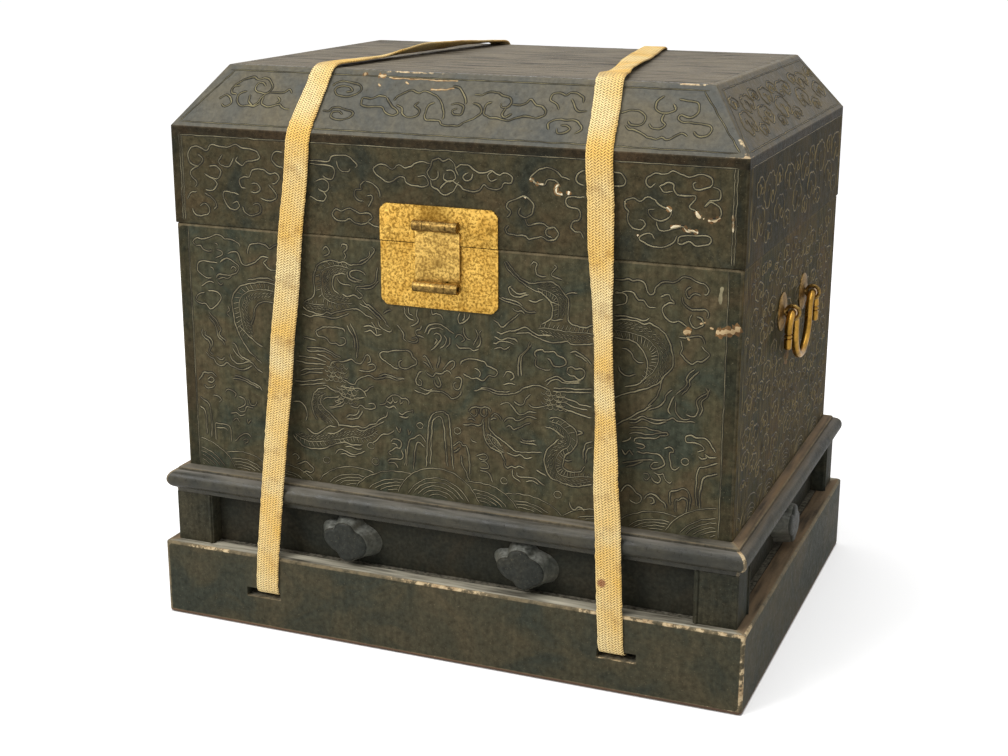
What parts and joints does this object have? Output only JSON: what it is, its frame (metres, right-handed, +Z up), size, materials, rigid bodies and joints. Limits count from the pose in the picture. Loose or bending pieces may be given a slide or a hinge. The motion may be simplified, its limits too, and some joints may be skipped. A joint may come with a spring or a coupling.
{
  "type": "travel chest",
  "caption": "Lacquered travel chest with a hipped, hinged lid on a stepped plinth, with a brass hasp lock, bail handles and webbing straps threaded through slots in the base.",
  "frame": {"origin": "on the floor, under the middle of the plinth", "axes": "+X to the right along the long side, front faces -Y, +Z up"},
  "size_m": [0.5874, 0.4432, 0.5427],
  "materials": {
    "lacquer": "dark green-black lacquer with fine raised lines, worn and dusty",
    "bare_wood": "unfinished boards inside",
    "brass": "cast and chased brass, lightly tarnished",
    "webbing": "woven cotton webbing, stained"
  },
  "bodies": {
    "chest": {"base_deck": "bare_wood", "body_floor": "bare_wood", "body_front_wall": "lacquer", "body_left_wall": "lacquer", "body_rear_wall": "lacquer", "body_right_wall": "lacquer", "cloud_boss_front_left": "lacquer", "cloud_boss_front_right": "lacquer", "cloud_boss_left": "lacquer", "cloud_boss_rear_left": "lacquer", "cloud_boss_rear_right": "lacquer", "cloud_boss_right": "lacquer", "corner_post_front_left": "lacquer", "corner_post_front_right": "lacquer", "corner_post_rear_left": "lacquer", "corner_post_rear_right": "lacquer", "frieze_front_board": "lacquer", "frieze_left_board": "lacquer", "frieze_rear_board": "lacquer", "frieze_right_board": "lacquer", "handle_left_front_eye": "brass", "handle_left_rear_eye": "brass", "handle_right_front_eye": "brass", "handle_right_rear_eye": "brass", "hinge_left_lower_leaf": "brass", "hinge_left_pin": "brass", "hinge_right_lower_leaf": "brass", "hinge_right_pin": "brass", "lock_plate_lower": "brass", "moulding_front_rail": "lacquer", "moulding_left_rail": "lacquer", "moulding_rear_rail": "lacquer", "moulding_right_rail": "lacquer", "plinth_front_board": "lacquer", "plinth_left_board": "lacquer", "plinth_rear_board": "lacquer", "plinth_right_board": "lacquer", "strap_left_rear_drop": "webbing", "strap_right_rear_drop": "webbing"},
    "lid": {"hinge_left_upper_leaf": "brass", "hinge_right_upper_leaf": "brass", "lid_front_skirt": "lacquer", "lid_front_slope": "lacquer", "lid_left_skirt": "lacquer", "lid_left_slope": "lacquer", "lid_rear_skirt": "lacquer", "lid_rear_slope": "lacquer", "lid_right_skirt": "lacquer", "lid_right_slope": "lacquer", "lid_top_panel": "lacquer", "strap_left_over_lid": "webbing", "strap_right_over_lid": "webbing", "lock_plate_upper": "brass", "hasp_pin": "brass"},
    "hasp": {"hasp_flap": "brass"},
    "handle_left": {"handle_left_bail": "brass"},
    "handle_right": {"handle_right_bail": "brass"},
    "strap_left": {"strap_left_front_drop": "webbing"},
    "strap_right": {"strap_right_front_drop": "webbing"}
  },
  "joints": [
    {"name": "lid_hinge", "type": "hinge", "parent": "chest", "child": "lid", "pos_m": [0, 0.2053, 0.39465], "axis": [-1, 0, 0], "range_deg": [0, 95], "deforming": ["strap_left_front_drop", "strap_left_over_lid", "strap_left_rear_drop", "strap_right_front_drop", "strap_right_over_lid", "strap_right_rear_drop"]},
    {"name": "hasp_swing", "type": "hinge", "parent": "lid", "child": "hasp", "pos_m": [-0.0017, -0.2077, 0.412], "axis": [-1, 0, 0], "range_deg": [0, 160]},
    {"name": "handle_left_swing", "type": "hinge", "parent": "chest", "child": "handle_left", "pos_m": [-0.2843, 0, 0.3245], "axis": [0, 1, 0], "range_deg": [0, 150]},
    {"name": "handle_right_swing", "type": "hinge", "parent": "chest", "child": "handle_right", "pos_m": [0.2843, 0, 0.3245], "axis": [0, -1, 0], "range_deg": [0, 150]},
    {"name": "strap_left_fall", "type": "hinge", "parent": "lid", "child": "strap_left", "pos_m": [-0.1462, -0.2052, 0.3945], "axis": [-1, 0, 0], "range_deg": [-95, 0]},
    {"name": "strap_right_fall", "type": "hinge", "parent": "lid", "child": "strap_right", "pos_m": [0.1528, -0.2052, 0.3945], "axis": [-1, 0, 0], "range_deg": [-95, 0]}
  ],
  "couplings": [
    {"joint": "strap_left_fall", "follows": "lid_hinge", "ratio": -1},
    {"joint": "strap_right_fall", "follows": "lid_hinge", "ratio": -1}
  ]
}
